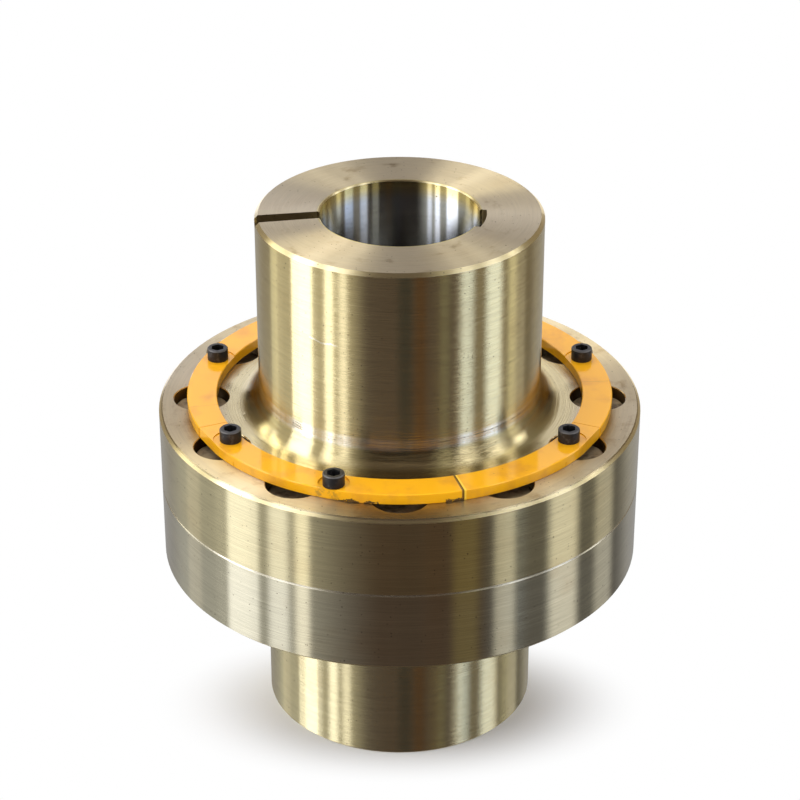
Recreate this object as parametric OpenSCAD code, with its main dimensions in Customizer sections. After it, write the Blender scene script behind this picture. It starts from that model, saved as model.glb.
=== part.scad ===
// Flexible pin coupling: two flanged half couplings, joined by twelve nylon pins.
// The axis is +Z, the lower hub stands on z = 0, and azimuths run from the front (-Y) towards +X.

/* [Upper half coupling] */
// Overall length, from the parting face to the end face
upper_length = 284; // [220:1:340]
// Outer diameter of the hub
upper_hub_d = 280; // [250:1:290]
// Thickness of the flange
upper_flange_t = 82; // [60:1:110]
// Bore for the shaft
upper_bore_d = 155; // [110:1:170]
// Width of the keyway
upper_key_w = 40; // [25:1:50]
// Depth of the keyway, from the bore to its curved floor
upper_key_depth = 6.5; // [3:0.5:12]

/* [Lower half coupling] */
// Overall length, from the parting face to the end face
lower_length = 257; // [220:1:340]
// Outer diameter of the hub
lower_hub_d = 272; // [250:1:290]
// Thickness of the flange
lower_flange_t = 82; // [60:1:110]
// Bore for the shaft
lower_bore_d = 140; // [100:1:170]
// Width of the keyway
lower_key_w = 36; // [25:1:45]
// Depth of the keyway, from the bore to its curved floor
lower_key_depth = 6; // [3:0.5:12]

/* [Both halves] */
// Outer diameter of the flanges
flange_d = 480; // [465:1:540]
// Fillet between hub and flange
fillet_r = 20; // [8:1:24]
// Chamfer on the outer edges of hubs and flanges
outer_chamfer = 3.5; // [1:0.5:8]
// Chamfer where the two flanges meet
parting_chamfer = 1; // [0.5:0.1:3]
// Chamfer at the mouths of the bores
bore_chamfer = 1.2; // [0.5:0.1:2.5]
// Azimuth of the keyways
key_azimuth = 80; // [60:1:100]

/* [Groove in the upper end face] */
// Width at its inner end, beside the axis
groove_w_inner = 14; // [8:0.5:20]
// Width at the rim
groove_w_outer = 17; // [8:0.5:24]
// Depth below the end face
groove_depth = 8; // [4:0.5:14]
// Azimuth of its run
groove_azimuth = -80.5; // [-100:0.5:-60]
// Distance from its centre line to the coupling's axis
groove_offset = 7; // [0:0.1:12]
// Height of the sloped relief where it breaks into the bore
groove_relief = 7; // [3:0.5:12]
// Width of that relief
groove_relief_w = 8.5; // [4:0.5:13]

/* [Coupling pins] */
// Diameter of the pin holes in both flanges
pin_hole_d = 55; // [40:1:58]
// Distance from the flanges' edge in to the pins' axes
pin_inset = 42; // [36:0.5:46]
// Chamfer at the mouths of the pin holes
pin_hole_chamfer = 0.8; // [0.3:0.1:1.5]
// Gap all round a pin in its hole
pin_clearance = 0.4; // [0.2:0.1:1]
// Depth of the pin's end below the upper flange face
pin_recess = 10; // [6:0.5:20]
// How much smaller in radius a pin's crowned end is than its middle
pin_crown = 1; // [0.4:0.1:2]
// Chamfer on a pin's ends
pin_chamfer = 2; // [1:0.5:4]

/* [Retaining rings] */
// Distance from the flange's edge in to the ring
ring_inset = 28.5; // [22:0.5:33]
// Width
ring_w = 29.5; // [26:0.5:32]
// Thickness
ring_t = 11; // [8:0.5:16]
// Chamfer on the long edges
ring_chamfer = 0.8; // [0.3:0.1:1.5]
// Gap between two segments
joint_gap = 0.7; // [0.3:0.1:2]
// Azimuth of the joint near the front
front_joint_azimuth = 16.4; // [10:0.1:26]
// Azimuth of the two lapped joints, left and right
side_joint_azimuth = 66.9; // [64:0.1:70]
// Angle over which the segments lap at a side joint
lap_angle = 18.5; // [16:0.1:22]
// Angle of the straight outer edge ground on each lap
flat_angle = 12; // [6:0.5:14]
// How far that edge runs inside the arc at the joint
flat_inset = 0.5; // [0.2:0.1:2]

/* [Retaining screws] */
// Diameter of the head
screw_head_d = 21; // [17:0.5:23]
// Height of the head
screw_head_h = 12.5; // [10:0.5:16]
// Chamfer on the head's upper edge
screw_head_chamfer = 1; // [0.5:0.1:2]
// Hexagon socket, across flats
socket_af = 12; // [6:0.5:13]
// Depth of the socket
socket_depth = 8; // [4:0.5:9]
// Diameter of the shank
screw_shank_d = 14; // [10:0.5:14]
// Chamfer at the tip
screw_tip_chamfer = 1; // [0.5:0.1:2]
// Diameter of the round seats milled into the ring for the heads
seat_d = 34; // [26:1:40]
// Depth of the seats
seat_depth = 1; // [0.5:0.5:4]
// Diameter of the front screw's seat, which is milled deeper
front_seat_d = 30; // [26:1:40]
// Depth of that seat
front_seat_depth = 2; // [0.5:0.5:4]
// Gap all round the shank in the ring's holes
screw_clearance = 0.5; // [0.2:0.1:1]
// Gap all round the shank in its threaded holes
thread_clearance = 0.1; // [0.1:0.1:0.3]
// How far the screws reach into the flange
screw_reach = 22; // [15:1:40]
// How much deeper than that their threaded holes are
hole_runout = 4; // [1:0.5:8]
// How far a lap screw's tip stops short of the ring's inner face, over a pin
lap_tip_gap = 0.5; // [0.3:0.1:2]
// Distance from the ring's outer edge in to the side and rear screws
screw_inset = 15; // [13:0.5:18]
// The same for the lap screws
lap_screw_inset = 18; // [13:0.5:18.5]
// The same for the front screw, which sits further out
front_screw_inset = 13.5; // [11:0.5:16]
// Wall left in the flange between the front screw's hole and the pin hole beside it
front_screw_wall = 6.4; // [2:0.1:12]
// The same for the two side screws, left and right
side_screw_wall = 1.9; // [1:0.1:10]
// Angle from each side joint to the screw that ties its lap
lap_screw_angle = 9.8; // [8:0.1:11]

/* [Hidden] */

// Twelve pins, one at the front
pin_count = 12;
pin_pitch = 360 / pin_count;
pin_circle_r = flange_d / 2 - pin_inset;

// Fineness of the round parts, and how far a cutting shape passes its work
round_fn = 120;
past = 1;

// Heights along the axis
parting_z = lower_length;
top_z = lower_length + upper_length;
upper_face_z = parting_z + upper_flange_t;
lower_face_z = parting_z - lower_flange_t;

// Radii of the ring, half the angle of a joint, and the azimuths of its laps' ends and hidden joint
ring_outer_r = flange_d / 2 - ring_inset;
ring_inner_r = ring_outer_r - ring_w;
half_joint = asin(joint_gap / (ring_inner_r + ring_outer_r));
lap_end = side_joint_azimuth - lap_angle;
rear_joint_azimuth = 180;

// The lower ring stands one pin pitch round from the upper one
lower_ring_turn = -pin_pitch;

// Heights of the heads' seats over the flange face
seat_z = ring_t - seat_depth;
front_seat_z = ring_t - front_seat_depth;

// Radii at which the screws stand, and the diameters of their holes
screw_r = ring_outer_r - screw_inset;
lap_screw_r = ring_outer_r - lap_screw_inset;
front_screw_r = ring_outer_r - front_screw_inset;
threaded_d = screw_shank_d + 2 * thread_clearance;
clear_d = screw_shank_d + 2 * screw_clearance;

// Angle round the coupling's axis from a pin to a screw at radius r, with that wall between their holes
function angle_from_pin(r, wall) =
    let(apart = (pin_hole_d + threaded_d) / 2 + wall)
    acos((pin_circle_r * pin_circle_r + r * r - apart * apart) / (2 * pin_circle_r * r));

// Azimuths of the screws: all but the lap screws go into the flange between two pins
front_screw_azimuth = angle_from_pin(front_screw_r, front_screw_wall) - pin_pitch;
lap_screw_azimuth = side_joint_azimuth - lap_screw_angle;
side_screw_azimuth = 4 * pin_pitch - angle_from_pin(screw_r, side_screw_wall);
rear_screw_azimuth = 5.5 * pin_pitch;

// Colours
steel = [0.66, 0.60, 0.48];
yellow = [0.95, 0.68, 0.16];
nylon = [0.80, 0.76, 0.62];
black_steel = [0.16, 0.16, 0.18];

// Turns the +X axis to an azimuth
module at_azimuth(a) {
    rotate([0, 0, a - 90]) children();
}

// Puts a shape, made with its base at z = 0, on the outer face of a flange
module on_upper_face() {
    translate([0, 0, upper_face_z]) children();
}

module on_lower_face() {
    translate([0, 0, lower_face_z]) mirror([0, 0, 1]) rotate([0, 0, lower_ring_turn]) children();
}

// Half couplings

// Half section of a half coupling: the parting face lies at y = 0 and the hub's end face at y = length
module half_section(bore_r, hub_r, length, flange_t) {
    flange_r = flange_d / 2;
    polygon([
        [bore_r + bore_chamfer, 0],
        [flange_r - parting_chamfer, 0],
        [flange_r, parting_chamfer],
        [flange_r, flange_t - outer_chamfer],
        [flange_r - outer_chamfer, flange_t],
        [hub_r, flange_t],
        [hub_r, length - outer_chamfer],
        [hub_r - outer_chamfer, length],
        [bore_r + bore_chamfer, length],
        [bore_r, length - bore_chamfer],
        [bore_r, bore_chamfer]
    ]);
    translate([hub_r, flange_t]) difference() {
        square(fillet_r);
        translate([fillet_r, fillet_r]) circle(r = fillet_r, $fn = round_fn);
    }
}

// Keyway along the whole bore, with a floor that follows the bore
module keyway(bore_r, width, depth, length) {
    floor_r = bore_r + depth;
    intersection() {
        translate([0, 0, -past]) cylinder(r = floor_r, h = length + 2 * past, $fn = round_fn);
        at_azimuth(key_azimuth) translate([0, -width / 2, -past])
            cube([floor_r + past, width, length + 2 * past]);
    }
}

// Through holes for the pins, chamfered at both mouths
module pin_holes(flange_t) {
    mouth_r = pin_hole_d / 2 + pin_hole_chamfer;
    for (i = [0 : pin_count - 1]) at_azimuth(i * pin_pitch) translate([pin_circle_r, 0, 0]) {
        translate([0, 0, -past]) cylinder(d = pin_hole_d, h = flange_t + 2 * past, $fn = round_fn);
        translate([0, 0, -past]) cylinder(r1 = mouth_r + past, r2 = pin_hole_d / 2,
            h = pin_hole_chamfer + past, $fn = round_fn);
        translate([0, 0, flange_t - pin_hole_chamfer])
            cylinder(r1 = pin_hole_d / 2, r2 = mouth_r + past, h = pin_hole_chamfer + past, $fn = round_fn);
    }
}

// Where a screw stands on the ring; all are turned alike, with a corner of the socket to the front
module at_screw(azimuth, r) {
    at_azimuth(azimuth) translate([r, 0, 0]) rotate([0, 0, -azimuth]) children();
}

module at_front_screw() {
    at_screw(front_screw_azimuth, front_screw_r) children();
}

module at_lap_screw(side) {
    at_screw(side * lap_screw_azimuth, lap_screw_r) children();
}

module at_side_screw(side) {
    at_screw(side * side_screw_azimuth, screw_r) children();
}

module at_rear_screw(side) {
    at_screw(side * rear_screw_azimuth, screw_r) children();
}

// A threaded hole in the flange face, made with that face at z = 0
module threaded_hole() {
    depth = screw_reach + hole_runout;
    translate([0, 0, -depth]) cylinder(d = threaded_d, h = depth + past, $fn = 48);
}

// One half coupling, parting face at z = 0 and hub upwards
module half_coupling(bore_d, hub_d, length, flange_t, key_w, key_depth, ring_turn) {
    difference() {
        rotate_extrude($fn = round_fn) half_section(bore_d / 2, hub_d / 2, length, flange_t);
        keyway(bore_d / 2, key_w, key_depth, length);
        pin_holes(flange_t);
        translate([0, 0, flange_t]) rotate([0, 0, ring_turn]) {
            at_front_screw() threaded_hole();
            for (side = [-1, 1]) {
                at_side_screw(side) threaded_hole();
                at_rear_screw(side) threaded_hole();
            }
        }
    }
}

// Groove cut across the upper end face, from the bore to the rim
module end_groove() {
    outer_x = upper_hub_d / 2 + past;
    at_azimuth(groove_azimuth) translate([0, -groove_offset, top_z - groove_depth]) {
        linear_extrude(groove_depth + past) polygon([
            [0, -groove_w_inner / 2],
            [outer_x, -groove_w_outer / 2],
            [outer_x, groove_w_outer / 2],
            [0, groove_w_inner / 2]
        ]);
        translate([upper_bore_d / 2, 0, 0]) rotate([90, 0, 0])
            linear_extrude(groove_relief_w, center = true) polygon([
                [-groove_relief, past],
                [-groove_relief, -groove_relief],
                [-past, -groove_relief],
                [groove_relief, past]
            ]);
    }
}

module upper_half_coupling() {
    color(steel) difference() {
        translate([0, 0, parting_z])
            half_coupling(upper_bore_d, upper_hub_d, upper_length, upper_flange_t,
                upper_key_w, upper_key_depth, 0);
        end_groove();
    }
}

module lower_half_coupling() {
    color(steel) translate([0, 0, parting_z]) mirror([0, 0, 1])
        half_coupling(lower_bore_d, lower_hub_d, lower_length, lower_flange_t,
            lower_key_w, lower_key_depth, lower_ring_turn);
}

// Pins

// A nylon pin: straight in the lower flange, where it rests on the lower ring, and crowned in the
// upper flange, so that the shafts may run a little out of line
module coupling_pin(number) {
    pin_r = pin_hole_d / 2 - pin_clearance;
    end_r = pin_r - pin_crown;
    length = lower_flange_t + upper_flange_t - pin_recess;
    crown_h = upper_flange_t - pin_recess;
    crown_r = (crown_h * crown_h + pin_crown * pin_crown) / (2 * pin_crown);
    color(nylon) at_azimuth((number - 1) * pin_pitch) translate([pin_circle_r, 0, lower_face_z])
        rotate_extrude($fn = round_fn) intersection() {
            polygon([
                [0, 0],
                [pin_r - pin_chamfer, 0],
                [pin_r, pin_chamfer],
                [pin_r, length - crown_h],
                [pin_r, length - pin_chamfer],
                [end_r - pin_chamfer, length],
                [0, length]
            ]);
            union() {
                square([pin_r + past, length - crown_h]);
                translate([0, length - crown_h]) intersection() {
                    square([pin_r + past, crown_h]);
                    translate([pin_r - crown_r, 0]) circle(r = crown_r, $fn = 720);
                }
            }
        }
}

// Retaining rings, made with the flange face at z = 0

// An arc of the ring between two azimuths, less half a joint at each
module ring_arc(from, to) {
    sweep = to - from - 2 * half_joint;
    at_azimuth(from + half_joint) rotate_extrude(angle = sweep, $fn = 2 * round_fn) polygon([
        [ring_inner_r + ring_chamfer, 0],
        [ring_outer_r - ring_chamfer, 0],
        [ring_outer_r, ring_chamfer],
        [ring_outer_r, ring_t - ring_chamfer],
        [ring_outer_r - ring_chamfer, ring_t],
        [ring_inner_r + ring_chamfer, ring_t],
        [ring_inner_r, ring_t - ring_chamfer],
        [ring_inner_r, ring_chamfer]
    ]);
}

// Half the thickness, cut away between two azimuths so that the next segment's tongue can lie there
module lap_space(from, to, low) {
    reach = ring_outer_r + past;
    half_width = reach * tan((to - from) / 2 + half_joint);
    at_azimuth((from + to) / 2) translate([0, 0, low]) linear_extrude(ring_t / 2 + past)
        polygon([[0, 0], [reach, -half_width], [reach, half_width]]);
}

// Straight outer edges ground on the laps, through both tongues and up to the joints
module lap_flats() {
    edge_r = (ring_outer_r + past) / cos(flat_angle / 2);
    for (side = [0, 1]) mirror([side, 0, 0]) at_azimuth(side_joint_azimuth)
        translate([0, 0, -past]) linear_extrude(ring_t + 2 * past) polygon([
            [ring_outer_r - flat_inset, 0],
            [ring_outer_r * cos(flat_angle), -ring_outer_r * sin(flat_angle)],
            [edge_r * cos(flat_angle), -edge_r * sin(flat_angle)],
            [edge_r, 0]
        ]);
}

// A hole in the ring with a milled seat for the screw's head, which breaks out through the ring's
// edge. The hole is clear of the shank from z = clear_z up, and threaded below.
module screw_place(place_d, place_z, clear_z) {
    translate([0, 0, -past]) cylinder(d = threaded_d, h = ring_t, $fn = 48);
    translate([0, 0, clear_z]) cylinder(d = clear_d, h = ring_t + 2 * past, $fn = 48);
    translate([0, 0, place_z]) cylinder(d = place_d, h = ring_t, $fn = round_fn);
}

// The holes in the ring: only the lower half of a lap is threaded
module ring_holes() {
    at_front_screw() screw_place(front_seat_d, front_seat_z, -past);
    for (side = [-1, 1]) {
        at_lap_screw(side) screw_place(seat_d, seat_z, ring_t / 2);
        at_side_screw(side) screw_place(seat_d, seat_z, -past);
        at_rear_screw(side) screw_place(seat_d, seat_z, -past);
    }
}

// The front segments meet in a plain joint, and their other ends lie over the rear segments
module ring_front_left() {
    color(yellow) difference() {
        ring_arc(-side_joint_azimuth, front_joint_azimuth);
        lap_space(-side_joint_azimuth, -lap_end, -past);
        lap_flats();
        ring_holes();
    }
}

module ring_front_right() {
    color(yellow) difference() {
        ring_arc(front_joint_azimuth, side_joint_azimuth);
        lap_space(lap_end, side_joint_azimuth, -past);
        lap_flats();
        ring_holes();
    }
}

// The rear segments meet in a plain joint behind the hub, and their other ends lie under the front ones
module ring_rear_right() {
    color(yellow) difference() {
        ring_arc(lap_end, rear_joint_azimuth);
        lap_space(lap_end, side_joint_azimuth, ring_t / 2);
        lap_flats();
        ring_holes();
    }
}

module ring_rear_left() {
    mirror([1, 0, 0]) ring_rear_right();
}

// Screws, made with the flange face at z = 0

// A socket head cap screw, with its tip at z = tip_z and its head on a seat at z = place_z
module cap_screw(tip_z, place_z) {
    head_r = screw_head_d / 2;
    shank_r = screw_shank_d / 2;
    head_top = place_z + screw_head_h;
    color(black_steel) difference() {
        rotate_extrude($fn = 64) polygon([
            [0, tip_z],
            [shank_r - screw_tip_chamfer, tip_z],
            [shank_r, tip_z + screw_tip_chamfer],
            [shank_r, place_z],
            [head_r, place_z],
            [head_r, head_top - screw_head_chamfer],
            [head_r - screw_head_chamfer, head_top],
            [0, head_top]
        ]);
        translate([0, 0, head_top - socket_depth])
            cylinder(d = socket_af / cos(30), h = socket_depth + past, $fn = 6);
    }
}

module screw_front() {
    at_front_screw() cap_screw(-screw_reach, front_seat_z);
}

module screw_lap(side) {
    at_lap_screw(side) cap_screw(lap_tip_gap, seat_z);
}

module screw_side(side) {
    at_side_screw(side) cap_screw(-screw_reach, seat_z);
}

module screw_rear(side) {
    at_rear_screw(side) cap_screw(-screw_reach, seat_z);
}

lower_half_coupling();
upper_half_coupling();
coupling_pin(1);  // coupling_pin_01
coupling_pin(2);  // coupling_pin_02
coupling_pin(3);  // coupling_pin_03
coupling_pin(4);  // coupling_pin_04
coupling_pin(5);  // coupling_pin_05
coupling_pin(6);  // coupling_pin_06
coupling_pin(7);  // coupling_pin_07
coupling_pin(8);  // coupling_pin_08
coupling_pin(9);  // coupling_pin_09
coupling_pin(10);  // coupling_pin_10
coupling_pin(11);  // coupling_pin_11
coupling_pin(12);  // coupling_pin_12
on_upper_face() ring_front_left();  // upper_ring_front_left
on_upper_face() ring_front_right();  // upper_ring_front_right
on_upper_face() ring_rear_right();  // upper_ring_rear_right
on_upper_face() ring_rear_left();  // upper_ring_rear_left
on_lower_face() ring_front_left();  // lower_ring_front_left
on_lower_face() ring_front_right();  // lower_ring_front_right
on_lower_face() ring_rear_right();  // lower_ring_rear_right
on_lower_face() ring_rear_left();  // lower_ring_rear_left
on_upper_face() screw_front();  // upper_screw_front
on_upper_face() screw_lap(-1);  // upper_screw_lap_left
on_upper_face() screw_lap(1);  // upper_screw_lap_right
on_upper_face() screw_side(-1);  // upper_screw_side_left
on_upper_face() screw_side(1);  // upper_screw_side_right
on_upper_face() screw_rear(-1);  // upper_screw_rear_left
on_upper_face() screw_rear(1);  // upper_screw_rear_right
on_lower_face() screw_front();  // lower_screw_front
on_lower_face() screw_lap(-1);  // lower_screw_lap_left
on_lower_face() screw_lap(1);  // lower_screw_lap_right
on_lower_face() screw_side(-1);  // lower_screw_side_left
on_lower_face() screw_side(1);  // lower_screw_side_right
on_lower_face() screw_rear(-1);  // lower_screw_rear_left
on_lower_face() screw_rear(1);  // lower_screw_rear_right
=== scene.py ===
import math
import bpy
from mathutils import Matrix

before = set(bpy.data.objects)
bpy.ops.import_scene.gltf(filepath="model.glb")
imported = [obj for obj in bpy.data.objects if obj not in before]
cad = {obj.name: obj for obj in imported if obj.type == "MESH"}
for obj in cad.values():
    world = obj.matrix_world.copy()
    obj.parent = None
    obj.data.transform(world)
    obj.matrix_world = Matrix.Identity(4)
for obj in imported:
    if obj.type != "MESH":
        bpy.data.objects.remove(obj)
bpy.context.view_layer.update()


# Half couplings
# Two flanged steel hubs, turned from solid forgings. The lathe leaves fine rings on every face, and a thin
# film of rust-proofing oil gives the metal its bronze tint. Bore and keyway hold the shaft.

UPPER_HALF = {
    "hub_r": 0.140,
    "bore_r": 0.0775,
    "length": 0.284,
    "hub_steel": (0.63, 0.535, 0.305, 1),
    "flange_steel": (0.50, 0.435, 0.26, 1),
}
LOWER_HALF = {
    "hub_r": 0.136,
    "bore_r": 0.070,
    "length": 0.257,
    # The lower hub's steel is painted darker than the upper hub's, as painted shade under the flange
    "hub_steel": (0.54, 0.475, 0.29, 1),
    "flange_steel": (0.47, 0.43, 0.31, 1),
}
PARTING_Z = LOWER_HALF["length"]
PARTING_CHAMFER = 0.001
FLANGE_R = 0.240
FLANGE_THICKNESS = 0.082
FILLET_R = 0.020
FILLET_TOP = FLANGE_THICKNESS + FILLET_R
FILLET_END_R = UPPER_HALF["hub_r"] + FILLET_R
HOLE_CIRCLE_R = 0.198
SCRATCH_HEIGHT = 0.2092

FACE_STEEL = (0.54, 0.455, 0.30, 1)
FLANGE_FACE_STEEL = (0.64, 0.545, 0.37, 1)
BORE_STEEL = (0.46, 0.48, 0.51, 1)
# Painted shade deep in the bore
BORE_DEPTH_SHADE = (0.07, 0.077, 0.095, 1)
MOUTH_GOLD = (0.58, 0.48, 0.22, 1)
BRIGHT_EDGE = (0.96, 0.83, 0.52, 1)
BARE_STEEL = (0.90, 0.88, 0.82, 1)
PARTING_LINE = (0.78, 0.74, 0.64, 1)
OIL_BROWN = (0.36, 0.24, 0.11, 1)
FILLET_DARK = (0.12, 0.085, 0.035, 1)
# Painted shade at the sides of the hub's root
ROOT_SHADE_OLIVE = (0.14, 0.12, 0.075, 1)
CUT_STEEL = (0.30, 0.24, 0.15, 1)
HOLE_BROWN = (0.15, 0.10, 0.055, 1)
RUST = (0.20, 0.105, 0.035, 1)
PIT = (0.07, 0.045, 0.025, 1)

STEEL_ROUGHNESS = 0.13
RIDGE_DEPTH = 0.00016
SCRATCH_DEPTH = 0.00002


class Shading:
    """The shader nodes of one material, or of the surroundings."""

    def __init__(self, owner):
        owner.use_nodes = True
        self.nodes = owner.node_tree.nodes
        self.links = owner.node_tree.links
        self.nodes.clear()

    def add(self, kind, sockets=None, **settings):
        node = self.nodes.new("ShaderNode" + kind)
        for name, value in settings.items():
            setattr(node, name, value)
        for name, value in (sockets or {}).items():
            if isinstance(value, bpy.types.NodeSocket):
                self.links.new(value, node.inputs[name])
            else:
                node.inputs[name].default_value = value
        return node

    def math(self, operation, a, b=0.0):
        return self.add("Math", {0: a, 1: b}, operation=operation).outputs[0]

    def total(self, first, *others):
        for other in others:
            first = self.math("ADD", first, other)
        return first

    def product(self, first, *others):
        for other in others:
            first = self.math("MULTIPLY", first, other)
        return first

    def larger(self, a, b):
        return self.math("MAXIMUM", a, b)

    def vector(self, operation, a, b=(0, 0, 0)):
        node = self.add("VectorMath", {0: a, 1: b}, operation=operation)
        return node.outputs["Value" if operation == "LENGTH" else "Vector"]

    def join(self, x, y, z):
        return self.add("CombineXYZ", {0: x, 1: y, 2: z}).outputs[0]

    def parts(self, vector):
        return self.add("SeparateXYZ", {0: vector}).outputs

    def step(self, value, low, high):
        """0 at low, 1 at high, smooth between them."""
        sockets = {"Value": value, "From Min": low, "From Max": high}
        return self.add("MapRange", sockets, interpolation_type="SMOOTHSTEP").outputs["Result"]

    def span(self, value, low, high, soft):
        """1 between low and high, falling to 0 over the soft length outside them."""
        rising = self.step(value, low - soft, low)
        return self.product(rising, self.step(value, high + soft, high))

    def blend(self, amount, first, second):
        node = self.add("Mix", {0: amount, 6: first, 7: second}, data_type="RGBA")
        return node.outputs[2]

    def layers(self, colour, coats):
        """A colour with coats laid over it in turn, each an amount from 0 to 1 and the coat's colour."""
        for amount, coat in coats:
            colour = self.blend(amount, colour, coat)
        return colour

    def scale(self, colour, amount):
        node = self.add("VectorMath", {0: colour, "Scale": amount}, operation="SCALE")
        return node.outputs["Vector"]

    def noise(self, where, size, detail=2.0, roughness=0.5):
        """Cloudy noise about 0.5, with marks of roughly the given size in metres."""
        sockets = {"Vector": where, "Scale": 1 / size, "Detail": detail, "Roughness": roughness}
        return self.add("TexNoise", sockets).outputs["Fac"]

    def specks(self, where, spacing, radius, share):
        """Small round marks: 1 inside a mark, in the given share of the cells."""
        cell = self.add("TexVoronoi", {"Vector": where, "Scale": 1 / spacing}, feature="F1")
        lot = self.add("SeparateColor", {0: cell.outputs["Color"]}).outputs[0]
        chosen = self.step(lot, share + 0.02, share)
        inside = self.step(cell.outputs["Distance"], radius / spacing, radius / spacing * 0.5)
        return self.product(chosen, inside)

    def bump(self, height, depth, below=None):
        """A normal for a relief of the given depth in metres, laid over another normal."""
        sockets = {"Strength": 1.0, "Distance": depth, "Height": height}
        if below:
            sockets["Normal"] = below
        return self.add("Bump", sockets).outputs[0]

    def finish(self, shader):
        self.add("OutputMaterial", {"Surface": shader.outputs[0]})


def new_material(name):
    material = bpy.data.materials.new(name)
    return material, Shading(material)


class Round:
    """Where a point lies on a round piece. Height is the distance from the parting plane, up or down,
    azimuth is in degrees from the front, and flatness is 1 on level faces and 0 on upright walls."""

    def __init__(self, s):
        self.s = s
        self.place = s.add("TexCoord").outputs["Object"]
        x, y, z = s.parts(self.place)
        flat = s.join(x, y, 0.0)
        self.radius = s.vector("LENGTH", flat)
        self.outward = s.vector("NORMALIZE", flat)
        self.normal = s.add("NewGeometry").outputs["Normal"]
        self.flatness = s.math("ABSOLUTE", s.parts(self.normal)[2])
        self.height = s.math("ABSOLUTE", s.math("SUBTRACT", z, PARTING_Z))
        self.along = s.math("SUBTRACT", self.height, self.radius)
        self.azimuth = s.math("DEGREES", s.math("ARCTAN2", x, s.product(y, -1.0)))
        self.on_upper = s.step(z, PARTING_Z + 0.043, PARTING_Z + 0.063)

    def marks(self, length, width, detail=2.0, roughness=0.5):
        """Noise drawn out along the turning marks: length round the piece, width across."""
        ratio = 0.2 * width / length
        round_part = self.s.vector("MULTIPLY", self.outward, (ratio, ratio, ratio))
        where = self.s.vector("ADD", round_part, self.s.join(0.0, 0.0, self.along))
        return self.s.noise(where, width, detail, roughness)

    def round_noise(self, count, roughness):
        """Noise that changes only round the piece, with about count marks in each radian."""
        where = self.s.vector("MULTIPLY", self.outward, (count, count, count))
        return self.s.noise(where, 1.0, 3.0, roughness)


class SteelZones:
    """Where each kind of surface and mark of a half coupling lies: 1 on it and 0 off it."""

    def __init__(self, s, at, hub_r, bore_r, length):
        on_hub = s.step(at.height, FILLET_TOP + 0.008, FILLET_TOP + 0.028)
        rim = s.step(at.radius, FLANGE_R - 0.010, FLANGE_R - 0.0025)
        self.wall = s.step(at.flatness, 0.6, 0.4)

        # The hub, the level faces and the flange's side, with the small chamfers at the parting plane
        self.hub = s.step(at.radius, FILLET_END_R + 0.040, FILLET_END_R + 0.008)
        off_fillet = s.step(at.radius, FILLET_END_R + 0.008, FILLET_END_R + 0.030)
        self.face = s.product(s.step(at.flatness, 0.55, 0.85), s.larger(on_hub, off_fillet))
        below_hub = s.step(at.height, FLANGE_THICKNESS + 0.013, FLANGE_THICKNESS + 0.008)
        self.flange_face = s.product(self.face, below_hub)
        self.side = s.product(rim, self.wall)
        at_parting = s.step(at.height, PARTING_CHAMFER + 0.0003, PARTING_CHAMFER - 0.0002)
        self.parting = s.product(rim, at_parting)

        # The bore, its mouth, and painted shade darkening its depths
        self.bore = s.step(at.radius, bore_r + 0.0035, bore_r + 0.002)
        self.mouth = s.product(self.bore, s.step(at.height, length - 0.022, length - 0.004))
        self.depth_shade = s.product(self.bore, s.step(at.height, length - 0.020, length - 0.085))

        # The groove across the end face, and the walls of the pin holes
        in_hub = s.span(at.radius, bore_r + 0.003, hub_r - 0.003, 0.0008)
        below_end = s.span(at.height, FILLET_TOP + 0.008, length - 0.004, 0.002)
        self.cut = s.larger(s.product(self.wall, in_hub), s.product(below_end, in_hub))
        in_flange = s.span(at.radius, HOLE_CIRCLE_R - 0.029, HOLE_CIRCLE_R + 0.029, 0.002)
        self.hole = s.product(self.wall, in_flange)

        # The chamfers of the hub's end and the flange's edge
        at_edge = s.larger(on_hub, s.step(at.radius, FLANGE_R - 0.0029, FLANGE_R - 0.0020))
        self.chamfer = s.product(s.span(at.flatness, 0.66, 0.76, 0.04), at_edge)

        # The fillet, the bare band above it where the tool stopped, and a dark line in the band
        root = s.step(at.radius, FILLET_END_R - 0.005, FILLET_END_R - 0.012)
        scored = at.round_noise(25, 0.7)
        band_height = s.span(at.height, FILLET_TOP - 0.001, FILLET_TOP + 0.006, 0.0045)
        self.band = s.product(band_height, root, s.total(s.product(scored, 0.8), 0.05))
        line_height = s.span(at.height, FILLET_TOP + 0.0038, FILLET_TOP + 0.0042, 0.0006)
        line_arc = s.span(at.azimuth, 18.0, 60.0, 8.0)
        self.line = s.product(line_height, root, line_arc, s.step(scored, 0.40, 0.60))
        inside_end = s.step(at.radius, FILLET_END_R + 0.006, FILLET_END_R)
        below_top = s.step(at.height, FILLET_TOP + 0.008, FILLET_TOP + 0.002)
        self.fillet = s.product(s.span(at.flatness, 0.30, 0.97, 0.02), inside_end, below_top)

        # Painted shade at both sides of the hub's root, and a wavy scratch on the upper hub
        beside = s.span(s.math("ABSOLUTE", at.azimuth), 82.0, 125.0, 18.0)
        root_shade_height = s.span(at.height, FLANGE_THICKNESS + 0.006, FILLET_TOP + 0.013, 0.025)
        off_flange = s.step(at.radius, FILLET_END_R - 0.004, FILLET_END_R - 0.010)
        self.root_shade = s.product(root_shade_height, off_flange, beside, 0.8)
        wavy = s.total(at.height, s.product(at.round_noise(9, 0.6), 0.010))
        scratch_line = s.span(wavy, SCRATCH_HEIGHT - 0.0005, SCRATCH_HEIGHT + 0.0005, 0.0008)
        scratch_arc = s.span(at.azimuth, -36.0, -26.0, 2.0)
        self.scratch = s.product(scratch_line, scratch_arc, at.on_upper)


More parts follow.
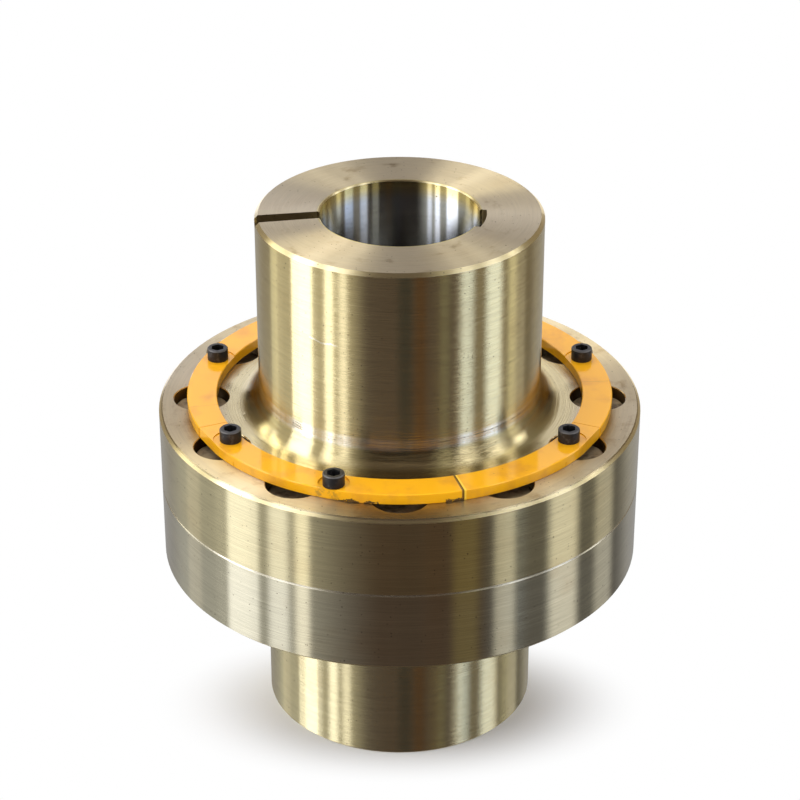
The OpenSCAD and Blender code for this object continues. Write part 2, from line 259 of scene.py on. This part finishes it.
def turned_steel(name, hub_r, bore_r, length, hub_steel, flange_steel):
    material, s = new_material(name)
    at = Round(s)
    zone = SteelZones(s, at, hub_r, bore_r, length)

    # Turning marks: hair-fine rings, longer streaks and slow bands
    hair = at.marks(0.040, 0.0008, 1.0)
    fine = at.marks(0.045, 0.0011, 3.0, 0.6)
    streak = at.marks(0.160, 0.0045, 4.0, 0.6)
    stain = at.marks(0.050, 0.020, 5.0, 0.62)

    # Oil, rust and pits
    cloud = s.noise(at.place, 0.055, 4.0, 0.55)
    blotch = s.noise(at.place, 0.022, 6.0, 0.68)
    rusted = s.product(s.step(stain, 0.58, 0.74), zone.face, 0.30)
    pits = s.larger(s.specks(at.place, 0.009, 0.0009, 0.22), s.specks(at.place, 0.004, 0.0007, 0.16))

    colour = s.layers(s.blend(zone.hub, flange_steel, hub_steel), [
        (zone.face, FACE_STEEL),
        (zone.flange_face, FLANGE_FACE_STEEL),
        (zone.bore, BORE_STEEL),
        (zone.mouth, MOUTH_GOLD),
        # Painted shade in the depths of the bore
        (s.product(zone.depth_shade, 0.8), BORE_DEPTH_SHADE),
        (s.product(s.step(cloud, 0.50, 0.80), 0.22), OIL_BROWN),
        (s.product(s.step(blotch, 0.52, 0.70), zone.flange_face, 0.45), OIL_BROWN),
        (rusted, RUST),
        (s.product(zone.cut, 0.85), CUT_STEEL),
        (s.product(zone.hole, 0.9), HOLE_BROWN),
        (zone.chamfer, BRIGHT_EDGE),
        # The fillet is darkened a little all round
        (s.product(zone.fillet, 0.12), FILLET_DARK),
        # Painted shade at the sides of the hub's root
        (zone.root_shade, ROOT_SHADE_OLIVE),
        (s.larger(zone.band, s.product(zone.scratch, 0.4)), BARE_STEEL),
        (s.product(zone.line, 0.6), PIT),
        (zone.parting, PARTING_LINE),
    ])
    contrast = s.total(0.26, s.product(zone.side, 0.24))
    shade = s.total(s.product(s.math("SUBTRACT", fine, 0.5), contrast), s.product(streak, 0.22), 0.89)
    colour = s.blend(s.product(pits, 0.85), s.scale(colour, shade), PIT)

    rough = s.total(
        STEEL_ROUGHNESS,
        s.product(zone.face, 0.18),
        s.product(streak, 0.06),
        s.product(s.larger(zone.cut, zone.hole), 0.25),
        s.product(rusted, 0.3),
        s.product(zone.chamfer, 0.10),
        s.product(zone.band, 0.06),
    )

    # The ridges between the tool's passes lean upwards, most of all in the bore and least on the flange's
    # side, and they are shallow in both
    lean = s.total(0.28, s.product(zone.bore, 0.22), s.product(zone.side, -0.18))
    lift = s.product(zone.wall, lean)
    leaning = s.vector("NORMALIZE", s.vector("ADD", at.normal, s.join(0.0, 0.0, lift)))
    strength = s.total(1.0, s.product(zone.bore, -0.92), s.product(zone.side, -0.6))
    ridged = s.bump(s.product(hair, strength), RIDGE_DEPTH, leaning)
    worked = s.math("SUBTRACT", s.product(fine, 0.6), s.product(pits, 0.8))
    turning = s.add("Tangent", direction_type="RADIAL", axis="Z")
    metal = s.add("BsdfPrincipled", {
        "Base Color": colour,
        "Metallic": 1.0,
        "Roughness": rough,
        "Anisotropic": 1.0,
        "Anisotropic Rotation": 0.25,
        "Tangent": turning.outputs[0],
        "Normal": s.bump(worked, SCRATCH_DEPTH, ridged),
    })
    s.finish(metal)
    return material


cad["upper_half_coupling"].data.materials[0] = turned_steel("upper_turned_steel", **UPPER_HALF)
cad["lower_half_coupling"].data.materials[0] = turned_steel("lower_turned_steel", **LOWER_HALF)


# Coupling pins
# Twelve pins, cut and faced from cast nylon rod. They lie loose in the flange holes and carry the torque;
# their ends have faint facing rings and the dirt that gathers in the holes.

NYLON = (0.30, 0.23, 0.14, 1)
NYLON_DIRT = (0.09, 0.06, 0.035, 1)


def machined_nylon():
    material, s = new_material("machined_nylon")
    place = s.add("TexCoord").outputs["Object"]
    grime = s.noise(place, 0.018, 5.0, 0.6)
    colour = s.layers(NYLON, [
        (s.step(grime, 0.42, 0.68), NYLON_DIRT),
        (s.product(s.specks(place, 0.006, 0.0009, 0.3), 0.7), PIT),
    ])
    marks = s.noise(place, 0.0012, 3.0, 0.6)
    plastic = s.add("BsdfPrincipled", {
        "Base Color": colour,
        "Roughness": s.total(0.42, s.product(grime, 0.25)),
        "IOR": 1.53,
        "Subsurface Weight": 0.08,
        "Subsurface Scale": 0.002,
        "Normal": s.bump(marks, 0.00003),
    })
    s.finish(plastic)
    return material


nylon = machined_nylon()
for number in range(1, 13):
    cad[f"coupling_pin_{number:02d}"].data.materials[0] = nylon


# Retaining rings
# Steel flats bent to arcs, lapped at the sides, milled flat for the screw heads and painted gloss yellow.
# The paint is chipped and grimy along the front edge, where the ring is handled and knocked.

RING_OUTER_R = 0.2115
PAINT = (0.88, 0.42, 0.008, 1)
PAINT_WORN = (0.72, 0.32, 0.02, 1)
BARE_EDGE = (0.10, 0.055, 0.02, 1)
GREASE = (0.26, 0.14, 0.025, 1)
JOINT_EDGE_HIGHLIGHT = (0.98, 0.62, 0.06, 1)

# Where the edge is knocked: from and to, in degrees, the soft length and the amount
KNOCKED_ARCS = [(-16.0, -11.0, 1.5, 1.0), (-8.5, -5.5, 1.2, 1.0), (12.0, 16.2, 1.0, 0.8)]


def gloss_yellow_paint():
    material, s = new_material("gloss_yellow_paint")
    at = Round(s)
    cloud = s.noise(at.place, 0.03, 4.0, 0.55)

    # Chips in clusters on the lower half of the outer edge, and a greasy patch beside the front screw
    chips = s.noise(at.place, 0.0038, 4.0, 0.7)
    outer = s.step(at.radius, RING_OUTER_R - 0.003, RING_OUTER_R - 0.0005)
    low = s.step(at.height, FLANGE_THICKNESS + 0.0055, FLANGE_THICKNESS + 0.0015)
    front = 0.0
    for start, end, soft, amount in KNOCKED_ARCS:
        front = s.larger(front, s.product(s.span(at.azimuth, start, end, soft), amount))
    cluster = s.step(s.noise(at.place, 0.012, 2.0, 0.5), 0.30, 0.55)
    knocked = s.product(outer, low, front, cluster)
    chipped = s.step(s.total(chips, s.product(knocked, 0.37)), 0.70, 0.76)
    smear = s.step(s.noise(at.place, 0.007, 4.0, 0.65), 0.40, 0.62)
    near_edge = s.step(at.radius, RING_OUTER_R - 0.0045, RING_OUTER_R - 0.0003)
    greasy = s.product(s.span(at.azimuth, -21.0, -17.0, 2.5), near_edge, smear, 0.65)

    # The plain joint in front, dark with dirt, with a painted highlight along the bevelled edge on its
    # other side, and two faint seams in the paint
    joint = s.product(s.span(at.azimuth, 15.95, 16.50, 0.15), at.on_upper, 0.85)
    joint_edge_highlight = s.product(s.span(at.azimuth, 16.60, 17.00, 0.15), at.on_upper, 0.8)
    seams = s.total(s.span(at.azimuth, -78.85, -78.60, 0.10), s.span(at.azimuth, 93.65, 93.90, 0.10))
    specks = s.specks(at.place, 0.008, 0.0006, 0.10)

    colour = s.layers(PAINT, [
        (s.step(cloud, 0.45, 0.75), PAINT_WORN),
        (greasy, GREASE),
        (chipped, BARE_EDGE),
        (s.total(joint, s.product(seams, at.on_upper, 0.2)), BARE_EDGE),
        # Painted highlight along the joint's bevelled edge
        (joint_edge_highlight, JOINT_EDGE_HIGHLIGHT),
        (s.product(specks, 0.8), BARE_EDGE),
    ])
    peel = s.noise(at.place, 0.006, 2.0, 0.5)
    relief = s.math("SUBTRACT", s.product(peel, 0.3), chipped)
    gloss = s.add("BsdfPrincipled", {
        "Base Color": colour,
        "Roughness": s.total(0.55, s.product(chipped, 0.3)),
        "Specular IOR Level": 0.15,
        "Coat Weight": 0.8,
        "Coat Roughness": 0.07,
        "Normal": s.bump(relief, 0.00007),
    })
    s.finish(gloss)
    return material


paint = gloss_yellow_paint()
for ring in ("upper", "lower"):
    for segment in ("front_left", "front_right", "rear_right", "rear_left"):
        cad[f"{ring}_ring_{segment}"].data.materials[0] = paint


# Retaining screws
# Socket head cap screws of blackened steel. They sit in the ring's milled seats and are screwed into the
# flange, and at the laps into the lower tongue of the ring.

BLACKENED = (0.028, 0.028, 0.032, 1)
RUBBED_AND_HIGHLIGHT = (0.16, 0.155, 0.16, 1)


def blackened_steel():
    material, s = new_material("blackened_steel")
    place = s.add("TexCoord").outputs["Object"]
    cloud = s.noise(place, 0.006, 4.0, 0.6)
    flatness = s.math("ABSOLUTE", s.parts(s.add("NewGeometry").outputs["Normal"])[2])
    # The head's top is painted a little lighter, and its rounded rim carries a painted highlight
    lit_top = s.product(s.step(flatness, 0.8, 0.95), 0.12)
    rim = s.product(s.span(flatness, 0.60, 0.80, 0.05), 0.8)
    colour = s.layers(BLACKENED, [
        (s.product(s.step(cloud, 0.50, 0.75), 0.5), RUBBED_AND_HIGHLIGHT),
        # Painted light on the top and the painted highlight on the rim
        (s.total(lit_top, rim), RUBBED_AND_HIGHLIGHT),
    ])
    grain = s.noise(place, 0.0008, 3.0, 0.6)
    metal = s.add("BsdfPrincipled", {
        "Base Color": colour,
        "Metallic": 0.6,
        "Roughness": s.total(0.34, s.product(cloud, 0.2)),
        "Normal": s.bump(grain, 0.00003),
    })
    s.finish(metal)
    return material


black = blackened_steel()
for ring in ("upper", "lower"):
    for screw in ("front", "lap_left", "lap_right", "side_left", "side_right", "rear_left", "rear_right"):
        cad[f"{ring}_screw_{screw}"].data.materials[0] = black


# Floor
# A plain white floor. It glows white to the camera all round, and close to the coupling's foot it is matt
# and shows the soft shadow.

FLOOR_SIZE = 12.0
FLOOR_MATT = (0.815, 0.83, 0.86, 1)
SHADOW_Y = -0.045
SHADOW_REACH_X = 0.26
SHADOW_REACH_Y = 0.142
SHADOW_CORE = 0.42

half = FLOOR_SIZE / 2
corners = [(-half, -half, 0), (half, -half, 0), (half, half, 0), (-half, half, 0)]
floor_mesh = bpy.data.meshes.new("floor")
floor_mesh.from_pydata(corners, [], [(0, 1, 2, 3)])
floor = bpy.data.objects.new("floor", floor_mesh)
bpy.context.scene.collection.objects.link(floor)

material, s = new_material("white_floor")
x, y, _ = s.parts(s.add("TexCoord").outputs["Object"])
across = s.math("DIVIDE", x, SHADOW_REACH_X)
along = s.math("DIVIDE", s.math("SUBTRACT", y, SHADOW_Y), SHADOW_REACH_Y)
shadow = s.step(s.vector("LENGTH", s.join(across, along, 0.0)), 1.0, SHADOW_CORE)
matt = s.add("BsdfDiffuse", {"Color": FLOOR_MATT})
white = s.add("Emission", {"Color": (1, 1, 1, 1), "Strength": 1.0})
seen = s.add("MixShader", {0: shadow, 1: white.outputs[0], 2: matt.outputs[0]})
camera_ray = s.add("LightPath").outputs["Is Camera Ray"]
s.finish(s.add("MixShader", {0: camera_ray, 1: matt.outputs[0], 2: seen.outputs[0]}))
floor_mesh.materials.append(material)
floor.visible_glossy = False


# Studio light
# Strip lights stand round the coupling in four sets, for its hub walls, its fillets and chamfers, its level
# faces and its flanges. Each strip: azimuth from the front, half width and soft edge, all in degrees, level
# and tint. The strips lean back as they rise, so that the upright walls show them upright.

WARM = (1.00, 0.98, 0.80)
WHITE = (1.00, 1.00, 1.00)
COOL = (0.70, 0.81, 1.00)
BROWN = (1.00, 0.60, 0.36)
AMBER = (1.00, 0.80, 0.42)
GOLD = (1.00, 0.94, 0.72)
DAYLIGHT = (1.00, 1.04, 1.15)
WALL_STRIPS = [
    (-121.5, 3.0, 5.0, 1.10, WARM),
    (-86.0, 9.0, 4.0, 3.20, WHITE),
    (-58.7, 2.2, 3.0, 2.40, WHITE),
    (-46.2, 1.8, 3.0, 1.60, WHITE),
    (4.5, 4.0, 3.0, 0.07, WHITE),
    (16.5, 3.0, 3.0, 0.14, BROWN),
    (36.5, 2.0, 4.0, 0.23, WARM),
    (55.8, 3.5, 4.0, 1.55, COOL),
    (81.6, 5.5, 4.5, 1.75, COOL),
    (103.0, 2.0, 6.0, 1.00, WARM),
]
FILLET_STRIPS = [
    (-120.0, 4.5, 5.0, 2.80, WHITE),
    (-85.0, 9.0, 4.0, 3.60, WHITE),
    (-58.0, 2.8, 3.0, 3.00, WHITE),
    (-45.0, 2.0, 3.0, 2.00, WHITE),
    (36.5, 3.0, 4.0, 0.60, WARM),
    (55.0, 4.0, 3.5, 1.90, WHITE),
    (82.0, 5.0, 3.5, 1.90, WHITE),
    (108.0, 4.0, 4.0, 3.00, WHITE),
]
FACE_STRIPS = [
    (-128.0, 2.0, 5.0, 3.20, GOLD),
    (-112.0, 3.0, 4.0, 4.30, GOLD),
    (-97.0, 1.5, 4.0, 2.70, GOLD),
    (-81.0, 4.0, 4.0, 3.20, GOLD),
    (-64.0, 1.5, 4.0, 2.10, GOLD),
    (-50.0, 2.0, 3.0, 3.20, GOLD),
    (62.0, 4.0, 6.0, 1.40, GOLD),
    (78.0, 2.0, 4.0, 2.00, GOLD),
    (94.0, 3.0, 6.0, 2.30, GOLD),
]
FLANGE_STRIPS = [
    (-115.5, 3.5, 5.0, 0.90, WHITE),
    (-79.5, 7.5, 4.0, 2.00, DAYLIGHT),
    (-59.0, 3.2, 4.5, 1.70, DAYLIGHT),
    (-46.5, 1.5, 4.0, 1.95, WHITE),
    (31.0, 3.0, 6.0, 0.27, AMBER),
    (50.5, 3.0, 4.5, 0.92, WHITE),
    (84.0, 5.5, 7.0, 1.25, WHITE),
    (114.0, 3.5, 8.0, 0.75, WHITE),
]

# All strips lean towards one place at the back, which lies at this y of the unit direction
STRIPS_MEET_Y = 0.87

ROOM_HORIZON = (0.135, 0.112, 0.108, 1)
ROOM_DARK = (0.016, 0.013, 0.011, 1)
ROOM_HIGH = (0.240, 0.200, 0.165, 1)
ROOM_TOP = (0.11, 0.09, 0.075, 1)
ROOM_BACK = (0.52, 0.48, 0.45, 1)
ROOM_LEFT = (0.70, 0.67, 0.56, 1)
ROOM_RIGHT = (0.32, 0.29, 0.24, 1)
ROOM_REAR = (0.24, 0.19, 0.12, 1)
HIGH_LEFT = (0.70, 0.66, 0.56, 1)
HIGH_RIGHT = (0.28, 0.255, 0.20, 1)
BORE_LEFT_GAIN = (0.95, 0.97, 1.05, 1)
BORE_RIGHT_GAIN = (0.26, 0.27, 0.27, 1)
LOW_FRONT = (0.125, 0.088, 0.070, 1)
LOW_LEFT = (0.68, 0.70, 0.72, 1)
LOW_RIGHT = (0.19, 0.19, 0.20, 1)
LOW_REAR = (0.48, 0.48, 0.50, 1)
SHADED_FLOOR = (0.08, 0.07, 0.06, 1)
BACKDROP_LEFT = (1.34, 1.40, 1.70, 1)
BACKDROP_RIGHT = (0.95, 0.90, 0.83, 1)

world = bpy.data.worlds.new("studio")
bpy.context.scene.world = world
s = Shading(world)
x, y, z = s.parts(s.add("TexCoord").outputs["Generated"])
away = s.math("SUBTRACT", STRIPS_MEET_Y, y)
azimuth = s.product(s.math("DEGREES", s.math("ARCTAN2", x, away)), 2.0)
turn = s.math("ABSOLUTE", azimuth)


def with_strips(light, strips, gain=None):
    """The light with a set of strips laid over it, dimmed by the gain where one is given."""
    for strip_azimuth, half_width, soft, level, tint in strips:
        lit = s.span(azimuth, strip_azimuth - half_width, strip_azimuth + half_width, soft)
        colour = (*(level * part for part in tint), 1)
        if gain:
            colour = s.vector("MULTIPLY", gain, colour[:3])
        light = s.blend(lit, light, colour)
    return light


# The room between the strips: dark in front, paler high up, and lighter at both sides and at the back
above = s.step(z, 0.50, 0.65)
room = s.layers(ROOM_HORIZON, [
    (s.step(z, 0.24, 0.38), ROOM_DARK),
    (s.step(z, 0.66, 0.85), ROOM_HIGH),
    (s.step(z, 0.90, 0.97), ROOM_TOP),
    (s.step(y, 0.45, 0.68), ROOM_BACK),
    (s.step(azimuth, -24.0, -48.0), ROOM_LEFT),
    (s.step(azimuth, 40.0, 62.0), ROOM_RIGHT),
    (s.step(turn, 112.0, 135.0), ROOM_REAR),
    (s.product(above, s.step(azimuth, -40.0, -60.0)), HIGH_LEFT),
    (s.product(above, s.step(azimuth, 40.0, 60.0)), HIGH_RIGHT),
])

# The wall strips are dimmed where the bore shows them, most of all on the right
into_bore = s.product(s.step(z, 0.22, 0.42), s.step(y, 0.0, -0.2))
dimmed = s.blend(s.step(x, -0.1, 0.1), BORE_LEFT_GAIN, BORE_RIGHT_GAIN)
wall_gain = s.blend(into_bore, (1.0, 1.0, 1.0, 1), dimmed)

# Below the horizon: brighter on the left, and dark far down, where the coupling shades the floor
low_room = s.layers(LOW_FRONT, [
    (s.step(azimuth, -6.0, -60.0), LOW_LEFT),
    (s.step(azimuth, 36.0, 46.0), LOW_RIGHT),
    (s.step(turn, 122.0, 145.0), LOW_REAR),
])
low_light = s.blend(s.step(z, -0.45, -0.70), with_strips(low_room, FLANGE_STRIPS), SHADED_FLOOR)

# The pale backdrop behind the coupling, brighter and bluer on the left
near = s.vector("LENGTH", s.join(x, away, 0.0))
behind = s.product(s.step(near, 0.24, 0.04), s.step(z, 0.0, 0.2))
behind = s.larger(behind, s.step(turn, 185.0, 200.0))
backdrop = s.blend(s.step(x, -0.30, 0.30), BACKDROP_LEFT, BACKDROP_RIGHT)

light = s.layers(with_strips(room, WALL_STRIPS, wall_gain), [
    (s.step(z, 0.40, 0.54), with_strips(room, FILLET_STRIPS)),
    (s.product(s.step(y, 0.38, 0.56), s.step(z, 0.25, 0.45)), with_strips(room, FACE_STRIPS)),
    (s.step(z, -0.14, -0.22), low_light),
    (behind, backdrop),
])
studio = s.add("Background", {"Color": light, "Strength": 1.0})
white = s.add("Background", {"Color": (1, 1, 1, 1), "Strength": 1.0})
camera_ray = s.add("LightPath").outputs["Is Camera Ray"]
sky = s.add("MixShader", {0: camera_ray, 1: studio.outputs[0], 2: white.outputs[0]})
s.add("OutputWorld", {"Surface": sky.outputs[0]})


def softbox(name, size, watts, place, tilt):
    lamp = bpy.data.lights.new(name, "AREA")
    lamp.shape = "DISK"
    lamp.size = size
    lamp.energy = watts
    stand = bpy.data.objects.new(name, lamp)
    stand.location = place
    stand.rotation_euler = (math.radians(tilt), 0.0, 0.0)
    stand.visible_glossy = False
    bpy.context.scene.collection.objects.link(stand)


softbox("overhead_softbox", size=2.4, watts=32.0, place=(0.0, -0.2, 2.6), tilt=0.0)
softbox("front_softbox", size=2.0, watts=48.0, place=(0.0, -3.2, 0.9), tilt=80.0)


# Camera
# At the photograph's height and distance, straight in front of the coupling and looking down on it, with
# a long lens.

CAMERA_PLACE = (0.0, -2.2449, 1.5450)
CAMERA_TILT = 28.31
CAMERA_SHIFT = 0.0004
LENS = 114.72
SENSOR_WIDTH = 36.0

camera = bpy.data.cameras.new("camera")
camera.sensor_width = SENSOR_WIDTH
camera.lens = LENS
camera.shift_x = CAMERA_SHIFT
camera_stand = bpy.data.objects.new("camera", camera)
camera_stand.location = CAMERA_PLACE
camera_stand.rotation_euler = (math.radians(90.0 - CAMERA_TILT), 0.0, 0.0)
bpy.context.scene.collection.objects.link(camera_stand)
bpy.context.scene.camera = camera_stand
bpy.context.scene.view_settings.view_transform = "Standard"
